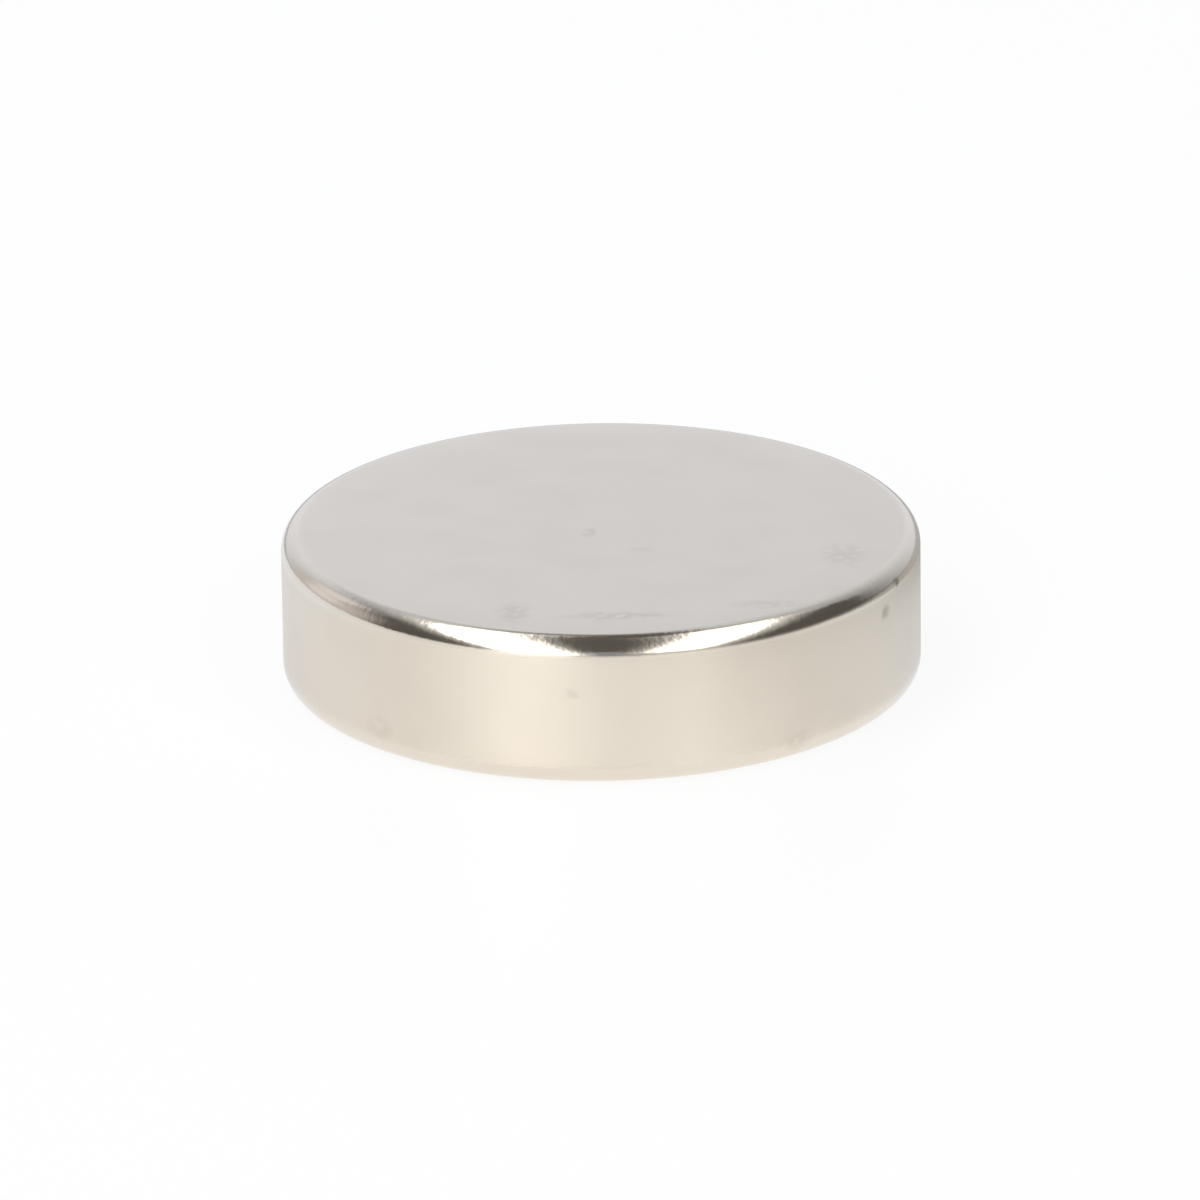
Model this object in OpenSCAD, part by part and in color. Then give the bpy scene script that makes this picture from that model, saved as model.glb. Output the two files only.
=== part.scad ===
// Plain disc magnet: one sintered disc with ground faces, a ground rim and
// tumbled edges, plated all over. It stands on its lower face at z = 0.

/* [Disc] */
// Diameter over the rim
disc_d = 25; // [10:0.5:60]
// Thickness from face to face
disc_h = 6; // [3:0.5:12]

/* [Edges] */
// Radius that tumbling leaves where the upper face meets the rim
upper_edge_r = 0.75; // [0.1:0.05:1.2]
// Radius that tumbling leaves where the lower face meets the rim
lower_edge_r = 0.75; // [0.1:0.05:1.2]

/* [Hidden] */
rim_r = disc_d / 2;

// Quarter of the edge's section: it rounds the corner from the face to the rim
module edge_round(edge_r) {
    intersection() {
        circle(r = edge_r, $fn = 96);
        square(edge_r);
    }
}

// Half of the disc's section, from the axis out to the rim
module half_section() {
    // The middle, where the rim stands upright
    translate([0, lower_edge_r])
        square([rim_r, disc_h - lower_edge_r - upper_edge_r]);
    // What is left of the lower face and its rounded edge
    square([rim_r - lower_edge_r, lower_edge_r]);
    translate([rim_r - lower_edge_r, lower_edge_r])
        mirror([0, 1])
            edge_round(lower_edge_r);
    // What is left of the upper face and its rounded edge
    translate([0, disc_h - upper_edge_r])
        square([rim_r - upper_edge_r, upper_edge_r]);
    translate([rim_r - upper_edge_r, disc_h - upper_edge_r])
        edge_round(upper_edge_r);
}

// The whole magnet, turned from its section
module disc_magnet() {
    color([0.80, 0.78, 0.74])
        rotate_extrude($fn = 256)
            half_section();
}

disc_magnet();
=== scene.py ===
from math import atan2, cos, pi, radians, sin, sqrt, tan

import bmesh
import bpy
from mathutils import Matrix, Quaternion, Vector


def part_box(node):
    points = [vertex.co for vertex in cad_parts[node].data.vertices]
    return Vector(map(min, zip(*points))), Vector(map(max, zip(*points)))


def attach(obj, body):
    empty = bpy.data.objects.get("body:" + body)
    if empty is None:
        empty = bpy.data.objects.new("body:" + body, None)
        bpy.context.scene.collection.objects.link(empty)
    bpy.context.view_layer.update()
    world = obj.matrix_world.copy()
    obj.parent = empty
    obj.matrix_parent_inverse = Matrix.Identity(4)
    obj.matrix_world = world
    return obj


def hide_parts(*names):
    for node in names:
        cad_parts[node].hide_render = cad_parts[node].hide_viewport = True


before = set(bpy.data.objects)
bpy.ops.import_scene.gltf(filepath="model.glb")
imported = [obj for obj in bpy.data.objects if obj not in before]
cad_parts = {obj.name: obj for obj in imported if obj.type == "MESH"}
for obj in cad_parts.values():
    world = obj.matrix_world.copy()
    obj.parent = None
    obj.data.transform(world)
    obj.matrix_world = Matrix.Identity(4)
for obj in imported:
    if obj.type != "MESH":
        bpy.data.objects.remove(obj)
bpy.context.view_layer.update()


# The magnet: one disc of sintered alloy, ground flat on both faces and round on its rim.
# Tumbling has rounded both edges, and bright nickel is plated over the whole of it.
# It lies loose on its lower face.
low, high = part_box("disc_magnet")
RIM_R = (high.x - low.x) / 2
THICK = high.z - low.z
EDGE_R = 0.00075
SIDES = 512
ARC_STEPS = 24
FACE_RINGS = 6
WALL_RINGS = 6


def edge_arc(middle_r, middle_z, start, end):
    """Points (radius, height) along one rounded edge, from one angle to the other."""
    for step in range(ARC_STEPS + 1):
        angle = start + (end - start) * step / ARC_STEPS
        yield middle_r + EDGE_R * cos(angle), middle_z + EDGE_R * sin(angle)


def magnet_section():
    """Half of the disc's section, from the middle of the lower face round to the middle of the upper one."""
    flat_r = RIM_R - EDGE_R
    wall_low, wall_high = EDGE_R, THICK - EDGE_R
    section = [(flat_r * ring / FACE_RINGS, 0.0) for ring in range(1, FACE_RINGS)]
    section += edge_arc(flat_r, wall_low, -pi / 2, 0)
    section += [
        (RIM_R, wall_low + (wall_high - wall_low) * ring / WALL_RINGS) for ring in range(1, WALL_RINGS)
    ]
    section += edge_arc(flat_r, wall_high, 0, pi / 2)
    section += [(flat_r * ring / FACE_RINGS, THICK) for ring in range(FACE_RINGS - 1, 0, -1)]
    return section


def turned(name, section):
    """A closed solid turned about Z from its section, with a fan of triangles at each end."""
    body = bmesh.new()
    rings = []
    for radius, height in section:
        ring = []
        for side in range(SIDES):
            angle = 2 * pi * side / SIDES
            ring.append(body.verts.new((radius * cos(angle), radius * sin(angle), height)))
        rings.append(ring)
    for inner, outer in zip(rings, rings[1:]):
        for side in range(SIDES):
            after = (side + 1) % SIDES
            body.faces.new((inner[side], outer[side], outer[after], inner[after]))
    for ring, height in ((rings[0], section[0][1]), (rings[-1], section[-1][1])):
        middle = body.verts.new((0, 0, height))
        for side in range(SIDES):
            body.faces.new((ring[side], ring[(side + 1) % SIDES], middle))
    bmesh.ops.recalc_face_normals(body, faces=body.faces)
    for face in body.faces:
        face.smooth = True
    mesh = bpy.data.meshes.new(name)
    body.to_mesh(mesh)
    body.free()
    piece = bpy.data.objects.new(name, mesh)
    bpy.context.scene.collection.objects.link(piece)
    return piece


magnet = turned("plated_disc", magnet_section())


# The finish: bright nickel a few hundredths of a millimetre thick. It mirrors, with a fine orange peel,
# where the edges were tumbled, and it is satin over the ground faces and rim. Handling has left a few
# small marks.
NICKEL = (0.818, 0.754, 0.652)
NICKEL_DULL = (0.792, 0.729, 0.629)
STAIN = (0.36, 0.31, 0.25)
EDGE_ROUGH = 0.13
FACE_ROUGH = 0.20
WALL_ROUGH = 0.41
BLEND = 0.0003
PEEL_GRAIN = 0.00028
PEEL_DEEP = 0.000006
DENT_MIDDLE = (0.00889, -0.00859, 0.00568)
DENT_R = 0.0002
DENT_DEEP = 0.000012
RIPPLE_GRAIN = 0.0006
RIPPLE_DEEP = 0.0000005
CLOUD_GRAIN = 0.003
HAZE = 0.03
WOBBLE = 0.0004
WOBBLE_GRAIN = 0.0006
SPECK_GRAIN = 0.0004
MARKS = [
    ("spot near the middle", (-0.00045, -0.00067, 0.006), (0.0004, 0.0007, 0.001), 0.22),
    ("short scratch", (0.00159, -0.00263, 0.006), (0.0008, 0.0005, 0.001), 0.12),
    ("smudge to the right", (0.0094, -0.0035, 0.006), (0.0012, 0.0018, 0.001), 0.16),
    ("smear by the front edge", (-0.0034, -0.0094, 0.006), (0.0009, 0.0016, 0.001), 0.2),
    ("rubbed line by the front edge", (0.0007, -0.00985, 0.006), (0.0030, 0.0006, 0.001), 0.2),
    ("rubbed line farther right", (0.0063, -0.0088, 0.006), (0.0020, 0.0006, 0.001), 0.14),
    ("nick on the rounded edge", (0.01142, -0.00503, 0.0054), (0.0004, 0.0004, 0.0003), 0.9),
    ("spot on the rim, in front", (-0.00115, -0.01245, 0.0038), (0.0004, 0.001, 0.0003), 0.18),
    ("spot on the rim, to the right", (0.01099, -0.00596, 0.0045), (0.0004, 0.0004, 0.0004), 0.6),
    ("stain low on the rim, to the left", (-0.00859, -0.00908, 0.0012), (0.0009, 0.0009, 0.0007), 0.16),
    ("stain low on the rim, to the right", (0.00747, -0.01002, 0.0008), (0.001, 0.001, 0.0006), 0.14),
]


def add(tree, kind, sockets, **settings):
    """A node with its settings made and each input set to a value or linked to another node's output."""
    made = tree.nodes.new(kind)
    for name, value in settings.items():
        setattr(made, name, value)
    for name, value in sockets.items():
        if isinstance(value, bpy.types.NodeSocket):
            tree.links.new(value, made.inputs[name])
        else:
            made.inputs[name].default_value = value
    return made


def sums(tree, operation, first, second=0.0):
    """The result of one step of arithmetic."""
    return add(tree, "ShaderNodeMath", {0: first, 1: second}, operation=operation).outputs[0]


def fade(tree, value, zero_at, one_at, step="SMOOTHSTEP"):
    """0 on one side of a band and 1 on the other, with a soft step between."""
    sockets = {"Value": value, "From Min": zero_at, "From Max": one_at}
    return add(tree, "ShaderNodeMapRange", sockets, interpolation_type=step).outputs["Result"]


def noise(tree, where, grain, detail=2.0):
    """Noise from 0 to 1 whose blobs are about the given size in metres."""
    sockets = {"Vector": where, "Scale": 1 / grain, "Detail": detail, "Roughness": 0.5}
    return add(tree, "ShaderNodeTexNoise", sockets).outputs["Fac"]


def mixed(tree, share, first, second):
    """One colour over another by a share from 0 to 1."""
    sockets = {"Factor": share, 6: first, 7: second}
    return add(tree, "ShaderNodeMix", sockets, data_type="RGBA").outputs[2]


def marks_mask(tree, where):
    """How much each place is stained by the small marks, which are ragged and broken up by fine specks."""
    sockets = {"Vector": where, "Scale": 1 / WOBBLE_GRAIN, "Detail": 1.0}
    push = add(tree, "ShaderNodeTexNoise", sockets).outputs["Color"]
    push = add(tree, "ShaderNodeVectorMath", {0: push, 1: (0.5, 0.5, 0.5)}, operation="SUBTRACT").outputs[0]
    sockets = {0: push, 1: (WOBBLE, WOBBLE, WOBBLE), 2: where}
    pushed = add(tree, "ShaderNodeVectorMath", sockets, operation="MULTIPLY_ADD").outputs[0]
    total = 0.0
    for name, middle, reach, depth in MARKS:
        stretch = tuple(1 / size for size in reach)
        start = tuple(-place / size for place, size in zip(middle, reach))
        away = add(tree, "ShaderNodeVectorMath", {0: pushed, 1: stretch, 2: start}, operation="MULTIPLY_ADD")
        away.label = name
        off = add(tree, "ShaderNodeVectorMath", {0: away.outputs[0]}, operation="LENGTH").outputs["Value"]
        total = sums(tree, "ADD", sums(tree, "MULTIPLY", fade(tree, off, 1.0, 0.2), depth), total)
    specks = fade(tree, noise(tree, where, SPECK_GRAIN, 1.0), 0.25, 0.6)
    return sums(tree, "MULTIPLY", total, specks)


def nickel_finish():
    """Bright nickel over tumbled edges and ground faces."""
    finish = bpy.data.materials.new("bright_nickel")
    finish.use_nodes = True
    tree = finish.node_tree
    tree.nodes.clear()
    where = add(tree, "ShaderNodeTexCoord", {}).outputs["Object"]
    across = add(tree, "ShaderNodeVectorMath", {0: where, 1: (1, 1, 0)}, operation="MULTIPLY").outputs[0]
    radius = add(tree, "ShaderNodeVectorMath", {0: across}, operation="LENGTH").outputs["Value"]
    height = add(tree, "ShaderNodeSeparateXYZ", {0: where}).outputs["Z"]
    flat_r = RIM_R - EDGE_R
    on_face = fade(tree, radius, flat_r + BLEND, flat_r - BLEND)
    off_face = sums(tree, "SUBTRACT", 1.0, on_face)
    off_middle = sums(tree, "ABSOLUTE", sums(tree, "SUBTRACT", height, THICK / 2))
    wall_half = THICK / 2 - EDGE_R
    on_wall = sums(tree, "MULTIPLY", fade(tree, off_middle, wall_half + BLEND, wall_half - BLEND), off_face)
    on_edge = sums(tree, "SUBTRACT", off_face, on_wall)

    cloud = noise(tree, where, CLOUD_GRAIN, 4.0)
    stained = marks_mask(tree, where)
    base = mixed(tree, fade(tree, cloud, 0.35, 0.8), (*NICKEL, 1), (*NICKEL_DULL, 1))
    colour = mixed(tree, stained, base, (*STAIN, 1))

    rough = sums(tree, "MULTIPLY", on_face, FACE_ROUGH)
    rough = sums(tree, "ADD", rough, sums(tree, "MULTIPLY", on_wall, WALL_ROUGH))
    rough = sums(tree, "ADD", rough, sums(tree, "MULTIPLY", on_edge, EDGE_ROUGH))
    haze = sums(tree, "MULTIPLY", sums(tree, "SUBTRACT", cloud, 0.5), HAZE)
    rough = sums(tree, "ADD", rough, sums(tree, "MULTIPLY", haze, sums(tree, "ADD", on_face, on_wall)))

    bumps = sums(tree, "SUBTRACT", noise(tree, where, PEEL_GRAIN), 0.5)
    peel = sums(tree, "MULTIPLY", bumps, sums(tree, "MULTIPLY", on_edge, PEEL_DEEP))
    ripple = sums(tree, "MULTIPLY", noise(tree, where, RIPPLE_GRAIN), RIPPLE_DEEP)
    off_dent = add(tree, "ShaderNodeVectorMath", {0: where, 1: DENT_MIDDLE}, operation="DISTANCE")
    dent = sums(tree, "MULTIPLY", fade(tree, off_dent.outputs["Value"], DENT_R, 0.0), -DENT_DEEP)
    relief = sums(tree, "ADD", sums(tree, "ADD", peel, ripple), dent)
    bump = add(tree, "ShaderNodeBump", {"Strength": 1.0, "Distance": 1.0, "Height": relief})

    metal = add(
        tree,
        "ShaderNodeBsdfPrincipled",
        {"Base Color": colour, "Metallic": 1.0, "Roughness": rough, "Normal": bump.outputs["Normal"]},
    )
    add(tree, "ShaderNodeOutputMaterial", {"Surface": metal.outputs["BSDF"]})
    return finish


magnet.data.materials.append(nickel_finish())
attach(magnet, "root")
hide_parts("disc_magnet")


# The table: a sheet of smooth white board, slightly glossy, that shows as plain white and keeps the magnet's
# shadow. What the magnet mirrors of it is a guess, with painted light and shade: a painted glow near the
# rim, painted warm light in front and cool light behind, a painted shadow half dark a short way off behind
# to the right, and painted shade darker farther off in front to the right.
TABLE_HALF = 0.6
TABLE_WHITE = (0.87, 0.90, 0.94)
# Painted shadow, seen only in the magnet's mirror: the board darkens to this a short way off behind to the
# right.
TABLE_SHADE = (0.43, 0.42, 0.41)
SHADE_TOWARD = (0.616, 0.788, 0.0)
SHADE_FROM = 0.0145
SHADE_FULL = 0.021
# Painted shade, seen only in the magnet's mirror: the board darkens further to this farther off in front to
# the right.
TABLE_FAR_SHADE = (0.16, 0.155, 0.15)
FAR_SHADE_TOWARD = (0.766, -0.643, 0.0)
FAR_SHADE_FROM = 0.022
FAR_SHADE_FULL = 0.055
# Painted light, seen only in the magnet's mirror: the board glows warm in front, as lit by the lamps, and
# cool behind, as lit by the backdrop.
COOL_LIGHT_FROM = -0.016
COOL_LIGHT_FULL = 0.006
TABLE_ROUGH = 0.30
TABLE_IOR = 1.5
SEEN_GLOW = 0.88
MIRRORED_WARM_LIGHT = (1.0, 0.975, 0.955)
MIRRORED_COOL_LIGHT = (0.85, 0.895, 0.985)
MIRRORED_GLOW = 0.5
# Painted light: near the magnet's rim the mirrored board glows fully, where its contact shade would fall.
RIM_GLOW_FULL = 0.0007
RIM_GLOW_OUT = 0.004


def table_finish():
    """White board that shows as white to the eye, and to anything that mirrors it as a glow with painted
    light and shade.
    """
    finish = bpy.data.materials.new("white_board")
    finish.use_nodes = True
    tree = finish.node_tree
    tree.nodes.clear()
    where = add(tree, "ShaderNodeTexCoord", {}).outputs["Object"]
    ray = add(tree, "ShaderNodeLightPath", {}).outputs
    eye = ray["Is Camera Ray"]

    def unseen_past(direction, from_here, to_there):
        """0 to 1 with the way along a direction, and 0 to the eye itself."""
        along = add(tree, "ShaderNodeVectorMath", {0: where, 1: direction}, operation="DOT_PRODUCT")
        share = fade(tree, along.outputs["Value"], from_here, to_there)
        return sums(tree, "MULTIPLY", share, sums(tree, "SUBTRACT", 1.0, eye))

    def with_shades(colour):
        """A colour of the board with both painted shades laid over it, for all but the eye."""
        colour = mixed(tree, unseen_past(SHADE_TOWARD, SHADE_FROM, SHADE_FULL), colour, (*TABLE_SHADE, 1))
        return mixed(tree, unseen_past(FAR_SHADE_TOWARD, FAR_SHADE_FROM, FAR_SHADE_FULL), colour, (*TABLE_FAR_SHADE, 1))

    sockets = {"Base Color": with_shades((*TABLE_WHITE, 1)), "Roughness": TABLE_ROUGH, "IOR": TABLE_IOR}
    board = add(tree, "ShaderNodeBsdfPrincipled", sockets).outputs[0]
    # Painted light for mirrored rays: full glow near the rim, an even half glow elsewhere.
    away = add(tree, "ShaderNodeVectorMath", {0: where}, operation="LENGTH").outputs["Value"]
    close = fade(tree, away, RIM_R + RIM_GLOW_OUT, RIM_R + RIM_GLOW_FULL)
    share = sums(tree, "MAXIMUM", close, MIRRORED_GLOW)
    mirrored = sums(tree, "MAXIMUM", ray["Is Glossy Ray"], ray["Is Transmission Ray"])
    mirrored = sums(tree, "MULTIPLY", mirrored, share)
    seen = sums(tree, "MULTIPLY", eye, SEEN_GLOW)
    # Painted light for mirrored rays: warm in front, cool behind; the eye sees plain white.
    backward = add(tree, "ShaderNodeSeparateXYZ", {0: where}).outputs["Y"]
    behind = fade(tree, backward, COOL_LIGHT_FROM, COOL_LIGHT_FULL)
    white = mixed(tree, behind, (*MIRRORED_WARM_LIGHT, 1), (*MIRRORED_COOL_LIGHT, 1))
    white = mixed(tree, eye, white, (1, 1, 1, 1))
    glow = add(tree, "ShaderNodeEmission", {"Color": with_shades(white), "Strength": 1.0}).outputs[0]
    both = add(tree, "ShaderNodeMixShader", {0: sums(tree, "MAXIMUM", seen, mirrored), 1: board, 2: glow})
    add(tree, "ShaderNodeOutputMaterial", {"Surface": both.outputs[0]})
    return finish


board_mesh = bpy.data.meshes.new("table")
corners = [(-1, -1), (1, -1), (1, 1), (-1, 1)]
board_mesh.from_pydata([(x * TABLE_HALF, y * TABLE_HALF, low.z) for x, y in corners], [], [(0, 1, 2, 3)])
table = bpy.data.objects.new("table", board_mesh)
table.data.materials.append(table_finish())
bpy.context.scene.collection.objects.link(table)


# The lamps: two tall softboxes with warm light in front, one to each side and tipped over the magnet.
# The narrow dark gap between them shows in the middle of the rounded edge.
LAMP_FAR = 0.45
LAMP_WARM = (1.0, 0.965, 0.905)
MIDDLE = Vector((0, 0, THICK / 2))
POWER_FOR_RADIANCE = 4


def pointing(azimuth, elevation):
    """The direction at this azimuth from straight back, to the right, and at this height."""
    a, e = radians(azimuth), radians(elevation)
    return Vector((sin(a) * cos(e), cos(a) * cos(e), sin(e)))


def softbox(name, azimuth, elevation, lean, half_angle, from_angle, to_angle, radiance):
    """A flat lamp square to a direction, whose long sides lean to the side from upright.

    It returns the planes through its long sides and its far end, as seen from the magnet, by the normals
    that point in.
    """
    facing = pointing(azimuth, elevation)
    upright = pointing(azimuth + 180, 90 - elevation)
    tall = upright * cos(radians(lean)) + upright.cross(facing) * sin(radians(lean))
    near, far = tan(radians(from_angle)), tan(radians(to_angle))
    lamp = bpy.data.lights.new(name, "AREA")
    lamp.shape = "RECTANGLE"
    lamp.size = 2 * LAMP_FAR * tan(radians(half_angle))
    lamp.size_y = LAMP_FAR * (far - near)
    lamp.energy = radiance * POWER_FOR_RADIANCE * lamp.size * lamp.size_y
    lamp.color = LAMP_WARM
    box = bpy.data.objects.new(name, lamp)
    wide = tall.cross(facing)
    turn = Matrix((wide, tall, facing)).transposed().to_4x4()
    box.matrix_world = Matrix.Translation(MIDDLE + LAMP_FAR * (facing + tall * (near + far) / 2)) @ turn
    bpy.context.scene.collection.objects.link(box)
    spread = radians(half_angle)
    long_sides = [facing * sin(spread) + wide * cos(spread) * side for side in (1, -1)]
    return *long_sides, facing * far / sqrt(1 + far**2) - tall / sqrt(1 + far**2)


left_outer, left_inner, left_end = softbox("lamp_left", -143.9, 33.9, -27.7, 14, -41, 84, 1.85)
right_inner, right_outer, right_end = softbox("lamp_right", 139.6, 33.7, 28.4, 13.8, -35, 69.5, 0.9)


# The room, a guess from what the rounded edge mirrors: a cool pale backdrop that fades to the sides, a white
# card on the left before a grey one, a dark card low in front, and dim walls and ceiling elsewhere. Round
# each lamp its diffuser glows, less and less toward its border.
ROOM_DIM = (0.100, 0.094, 0.088)
BACKDROP = (0.836, 0.863, 0.945)
LEFT_CARD = (0.82, 0.79, 0.81)
LEFT_CARD_SIDE = (0.61, 0.58, 0.585)
FRONT_CARD = (0.24, 0.27, 0.31)
DIFFUSER = (1.05, 1.06, 1.09)


def room_light():
    """Light from all round, by direction; the eye itself sees plain white behind the magnet."""
    world = bpy.data.worlds.new("room")
    bpy.context.scene.world = world
    world.use_nodes = True
    tree = world.node_tree
    tree.nodes.clear()
    toward = add(tree, "ShaderNodeTexCoord", {}).outputs["Generated"]

    def along(direction):
        """The cosine of the angle from a direction."""
        sockets = {0: toward, 1: direction}
        return add(tree, "ShaderNodeVectorMath", sockets, operation="DOT_PRODUCT").outputs["Value"]

    def near_to(azimuth, elevation, zero_at, one_at, step="SMOOTHSTEP"):
        """0 to 1 as the angle from a direction falls, in degrees."""
        ends = cos(radians(zero_at)), cos(radians(one_at))
        return fade(tree, along(pointing(azimuth, elevation)), *ends, step)

    def past(side, zero_at, one_at):
        """0 to 1 across the plane through a side of a lamp, by the angle inside it, in degrees."""
        return fade(tree, along(side), sin(radians(zero_at)), sin(radians(one_at)))

    def over(share, below, colour):
        """A colour laid over what is below it."""
        return mixed(tree, share, below, (*colour, 1))

    light = over(near_to(0, 10.5, 76, 12.5, "LINEAR"), (*ROOM_DIM, 1), BACKDROP)
    light = over(near_to(92, 34, 26, 18), light, ROOM_DIM)
    light = over(near_to(-64, 9.5, 36, 9), light, LEFT_CARD_SIDE)
    light = over(near_to(-53.5, 32, 14, 1.5), light, LEFT_CARD)
    light = over(near_to(-61, 14, 14, 1), light, LEFT_CARD)
    behind_left = sums(tree, "MULTIPLY", past(left_outer, -17, -12), near_to(-55.5, 9.5, 73, 4))
    light = over(sums(tree, "MULTIPLY", behind_left, 0.53), light, ROOM_DIM)
    ceiling_gap = sums(tree, "MULTIPLY", past(left_inner, 3, -1), past(right_inner, 3, -1))
    light = over(ceiling_gap, light, ROOM_DIM)
    light = over(near_to(180, 10, 12, 5), light, FRONT_CARD)
    left_glow = sums(tree, "MULTIPLY", past(left_outer, -12, 8), past(left_inner, -7, 1))
    light = over(sums(tree, "MULTIPLY", left_glow, past(left_end, -22, 3)), light, DIFFUSER)
    right_glow = sums(tree, "MULTIPLY", past(right_outer, -15, 10), past(right_inner, -11.5, 10))
    light = over(sums(tree, "MULTIPLY", right_glow, past(right_end, -1, 10)), light, DIFFUSER)
    room = add(tree, "ShaderNodeBackground", {"Color": light, "Strength": 1.0})
    white = add(tree, "ShaderNodeBackground", {"Color": (1, 1, 1, 1), "Strength": 1.0})
    seen = add(tree, "ShaderNodeLightPath", {}).outputs["Is Camera Ray"]
    both = add(tree, "ShaderNodeMixShader", {0: seen, 1: room.outputs[0], 2: white.outputs[0]})
    add(tree, "ShaderNodeOutputWorld", {"Surface": both.outputs[0]})


room_light()
bpy.context.scene.view_settings.view_transform = "Standard"


# The camera: a long lens half a metre off, looking down on the table at about 21 degrees.
# It is tipped to one side by less than a degree, as the photo is.
PICTURE = 1200
SENSOR = 36.0
EYE_FAR = 0.5
EYE_UP = 20.67
EYE_TIPPED = -0.77
MAGNET_WIDE = 638.4
MIDDLE_SEEN = (601.4, 598.5)

focal = MAGNET_WIDE * EYE_FAR / (2 * RIM_R)
lens = bpy.data.cameras.new("camera")
lens.sensor_width = SENSOR
lens.lens = focal * SENSOR / PICTURE
camera = bpy.data.objects.new("camera", lens)
back = Vector((0, -cos(radians(EYE_UP)), sin(radians(EYE_UP))))
aim = (-back).to_track_quat("-Z", "Y")
tip = Quaternion((0, 0, 1), radians(EYE_TIPPED))
off_x = atan2(MIDDLE_SEEN[0] - PICTURE / 2, focal)
off_y = atan2(MIDDLE_SEEN[1] - PICTURE / 2, focal)
aside = Quaternion((0, 1, 0), off_x) @ Quaternion((1, 0, 0), off_y)
camera.rotation_mode = "QUATERNION"
camera.rotation_quaternion = aim @ tip @ aside
camera.location = MIDDLE + back * EYE_FAR
bpy.context.scene.collection.objects.link(camera)
bpy.context.scene.camera = camera


bpy.context.view_layer.update()
